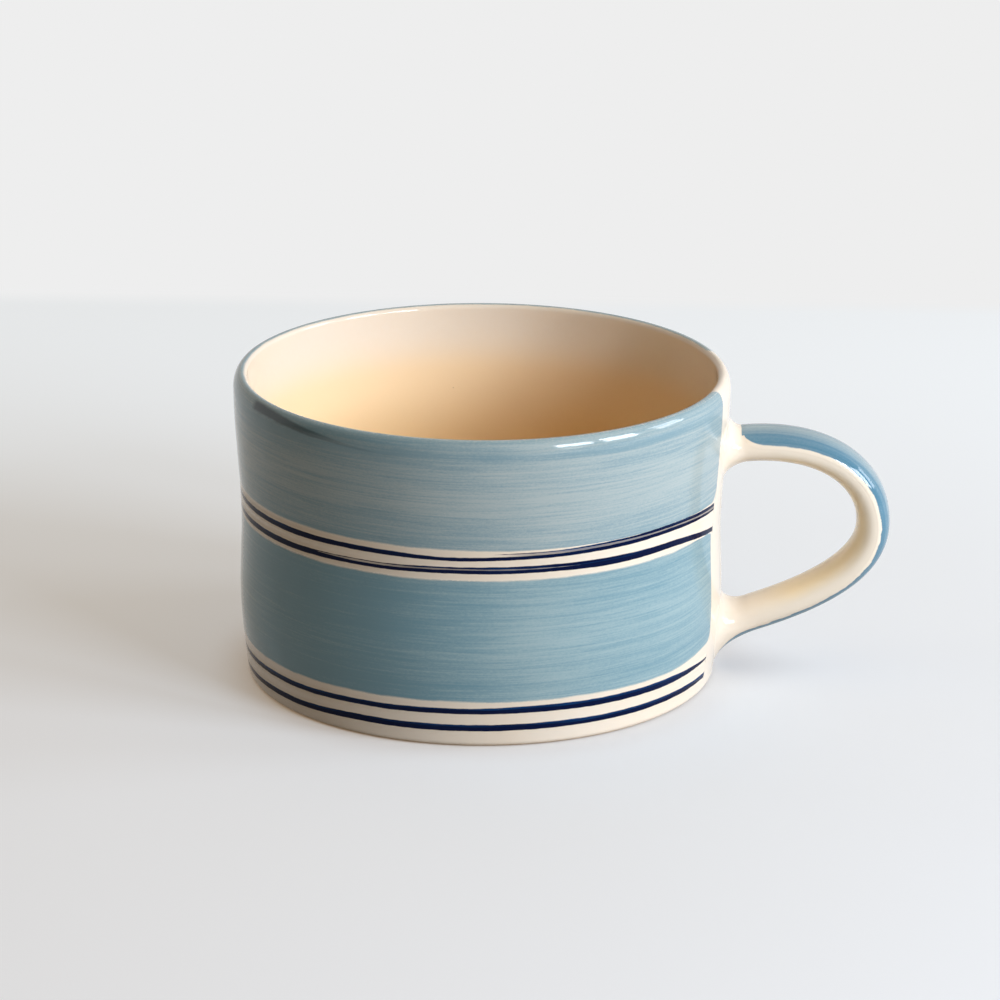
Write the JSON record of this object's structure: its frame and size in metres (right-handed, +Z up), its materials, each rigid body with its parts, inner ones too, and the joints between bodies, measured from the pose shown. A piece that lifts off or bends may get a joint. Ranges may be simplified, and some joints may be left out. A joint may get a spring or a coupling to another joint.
{
  "type": "soup mug",
  "caption": "Low wide stoneware soup mug with a pulled strap handle, blue slip bands and dark blue lines, for holding soup or a hot drink.",
  "frame": {"origin": "on the cup's axis, in the plane of the ring that the mug stands on", "axes": "+Z up along the cup's axis, +X from the axis towards the handle, +Y to complete the right hand"},
  "size_m": [0.1559, 0.1176, 0.0737],
  "materials": {
    "cream_glazed_clay": "clear gloss glaze over a cream clay body",
    "luting_slip": "cream slip under clear gloss glaze",
    "blue_slip": "brushed mid blue slip under clear gloss glaze",
    "dark_blue_slip": "dark blue brush line under clear gloss glaze"
  },
  "bodies": {
    "root": {"mug_body": "cream_glazed_clay", "handle": "cream_glazed_clay", "upper_luting_slip": "luting_slip", "lower_luting_slip": "luting_slip", "upper_blue_band": "blue_slip", "lower_blue_band": "blue_slip", "handle_blue_stroke": "blue_slip", "waist_line_upper": "dark_blue_slip", "waist_line_lower": "dark_blue_slip", "foot_line_upper": "dark_blue_slip", "foot_line_lower": "dark_blue_slip"}
  },
  "joints": []
}
